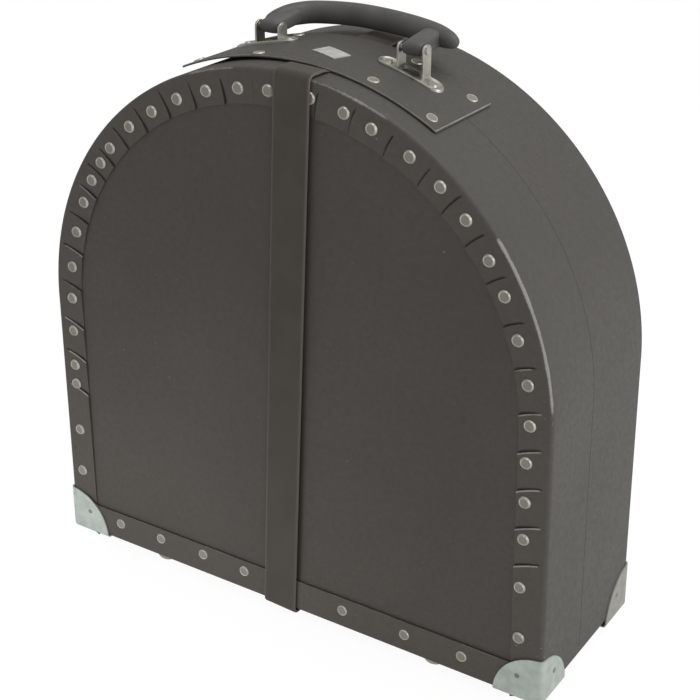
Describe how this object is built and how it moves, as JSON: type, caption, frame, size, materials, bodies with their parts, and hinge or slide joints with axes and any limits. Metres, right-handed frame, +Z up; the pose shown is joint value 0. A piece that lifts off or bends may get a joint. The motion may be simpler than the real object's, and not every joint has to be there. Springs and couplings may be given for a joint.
{
  "type": "snare drum case",
  "caption": "Hard D-shaped drum case of riveted fibre board: pull-off lid, folding top grip, metal corners and one buckled webbing strap.",
  "frame": {"origin": "centre of the bounding box's footprint, on the surface that the case stands on", "axes": "+X to the case's right seen from its front, +Y to its back, +Z up"},
  "size_m": [0.4412, 0.1616, 0.4523],
  "materials": {
    "fibre_band": "grey-brown vulcanised fibre, fine grain, worn paler along folds",
    "fibre_face": "dark brown-grey vulcanised fibre board, satin",
    "nickel": "dull nickel-plated steel",
    "zinc": "pale zinc-plated sheet, slightly green",
    "webbing": "dark woven cotton webbing",
    "grip_black": "black moulded grip, satin, fine grain",
    "label": "blank satin plate"
  },
  "bodies": {
    "base": {"base_band": "fibre_band", "base_panel": "fibre_face", "base_tabs": "fibre_band", "base_rivets": "nickel", "base_glides": "nickel", "base_corner_right": "zinc", "base_corner_left": "zinc", "base_corner_nails": "nickel", "sleeve": "fibre_face", "strap_rear": "webbing", "strap_tail": "webbing", "strap_keeper": "webbing", "buckle_frame": "nickel"},
    "lid": {"lid_band": "fibre_band", "lid_panel": "fibre_face", "lid_tabs": "fibre_band", "lid_rivets": "nickel", "lid_glides": "nickel", "lid_corner_right": "zinc", "lid_corner_left": "zinc", "lid_corner_nails": "nickel", "handle_plate": "fibre_band", "handle_plate_rivets": "nickel", "handle_mount_right": "nickel", "handle_mount_left": "nickel", "handle_mount_rivets": "nickel", "handle_pins": "nickel", "name_plate": "label", "strap_front": "webbing"},
    "grip": {"grip": "grip_black"},
    "roller": {"buckle_roller": "nickel"},
    "prong": {"buckle_prong": "nickel"}
  },
  "joints": [
    {"name": "lid_slide", "type": "slide", "parent": "base", "child": "lid", "axis": [0, -1, 0], "range_m": [0, 0.12]},
    {"name": "grip_swing", "type": "hinge", "parent": "lid", "child": "grip", "pos_m": [0.0065, -0.00795, 0.4397], "axis": [1, 0, 0], "range_deg": [0, 160]},
    {"name": "roller_spin", "type": "hinge", "parent": "base", "child": "roller", "pos_m": [0.00776, 0.07365, 0.2627], "axis": [0.9988, 0, -0.0488], "continuous": true},
    {"name": "prong_swing", "type": "hinge", "parent": "base", "child": "prong", "pos_m": [0.00893, 0.07365, 0.28667], "axis": [0.9988, 0, -0.0488], "range_deg": [0, 10]}
  ]
}
